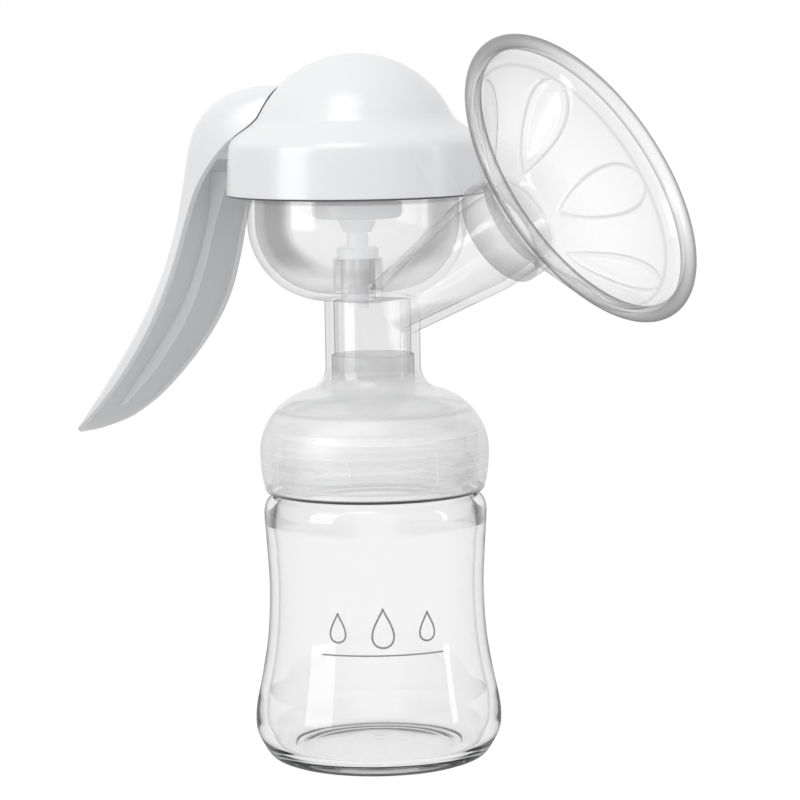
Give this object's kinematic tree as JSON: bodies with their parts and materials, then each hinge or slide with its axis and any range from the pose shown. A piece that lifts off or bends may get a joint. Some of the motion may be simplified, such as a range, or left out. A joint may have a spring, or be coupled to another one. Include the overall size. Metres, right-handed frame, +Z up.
{
  "type": "manual breast pump",
  "caption": "Hand-operated breast pump with a squeeze lever, domed cap, soft flange cushion and a wide-neck screw-on bottle.",
  "frame": {"origin": "centre of the bottle's base, on the table", "axes": "+Z up along the bottle's axis, +X towards the funnel, the handle on the -X side"},
  "size_m": [0.1777, 0.0804, 0.185],
  "materials": {
    "bottle_clear": "clear, polished",
    "body_frosted": "translucent, lightly frosted",
    "white_gloss": "smooth semi-gloss white",
    "white_inner": "fine matte white",
    "silicone_clear": "clear soft silicone",
    "silicone_milky": "milky soft silicone",
    "steel": "fine ground"
  },
  "bodies": {
    "bottle": {"bottle": "bottle_clear"},
    "neck_seal": {"neck_seal": "silicone_milky"},
    "pump_body": {"pump_body": "body_frosted", "stem_guide": "white_inner"},
    "valve": {"duckbill_valve": "silicone_milky"},
    "cushion": {"flange_cushion": "silicone_clear"},
    "cap": {"dome_cap": "white_gloss", "lever_frame": "white_inner", "pivot_pin": "steel", "diaphragm": "silicone_milky"},
    "handle": {"handle": "white_gloss", "lever_arm": "white_inner"},
    "plunger": {"plunger_disc": "white_inner", "clamp_nut": "white_inner", "lift_washer": "white_inner", "plunger_rod": "white_inner", "rod_pin": "steel"}
  },
  "joints": [
    {"name": "unscrew_lift", "type": "slide", "parent": "bottle", "child": "neck_seal", "axis": [0, 0, 1], "range_m": [0, 0.0071]},
    {"name": "unscrew_turn", "type": "hinge", "parent": "neck_seal", "child": "pump_body", "pos_m": [0, 0, 0.085], "axis": [0, 0, 1], "range_deg": [0, 630]},
    {"name": "valve_pull", "type": "slide", "parent": "pump_body", "child": "valve", "axis": [0, 0, -1], "range_m": [0, 0.022]},
    {"name": "cushion_pull", "type": "slide", "parent": "pump_body", "child": "cushion", "axis": [0.8572, 0, 0.515], "range_m": [0, 0.025]},
    {"name": "head_lift", "type": "slide", "parent": "pump_body", "child": "cap", "axis": [0, 0, 1], "range_m": [0, 0.034]},
    {"name": "handle_squeeze", "type": "hinge", "parent": "cap", "child": "handle", "pos_m": [-0.0285, 0, 0.156], "axis": [0, -1, 0], "range_deg": [0, 25]},
    {"name": "plunger_lift", "type": "slide", "parent": "cap", "child": "plunger", "axis": [0, 0, 1], "range_m": [0, 0.01085], "deforming": ["diaphragm"]}
  ],
  "couplings": [
    {"joint": "unscrew_lift", "follows": "unscrew_turn", "m_per_rad": 0.00063662},
    {"joint": "plunger_lift", "follows": "handle_squeeze", "m_per_rad": 0.024693}
  ]
}
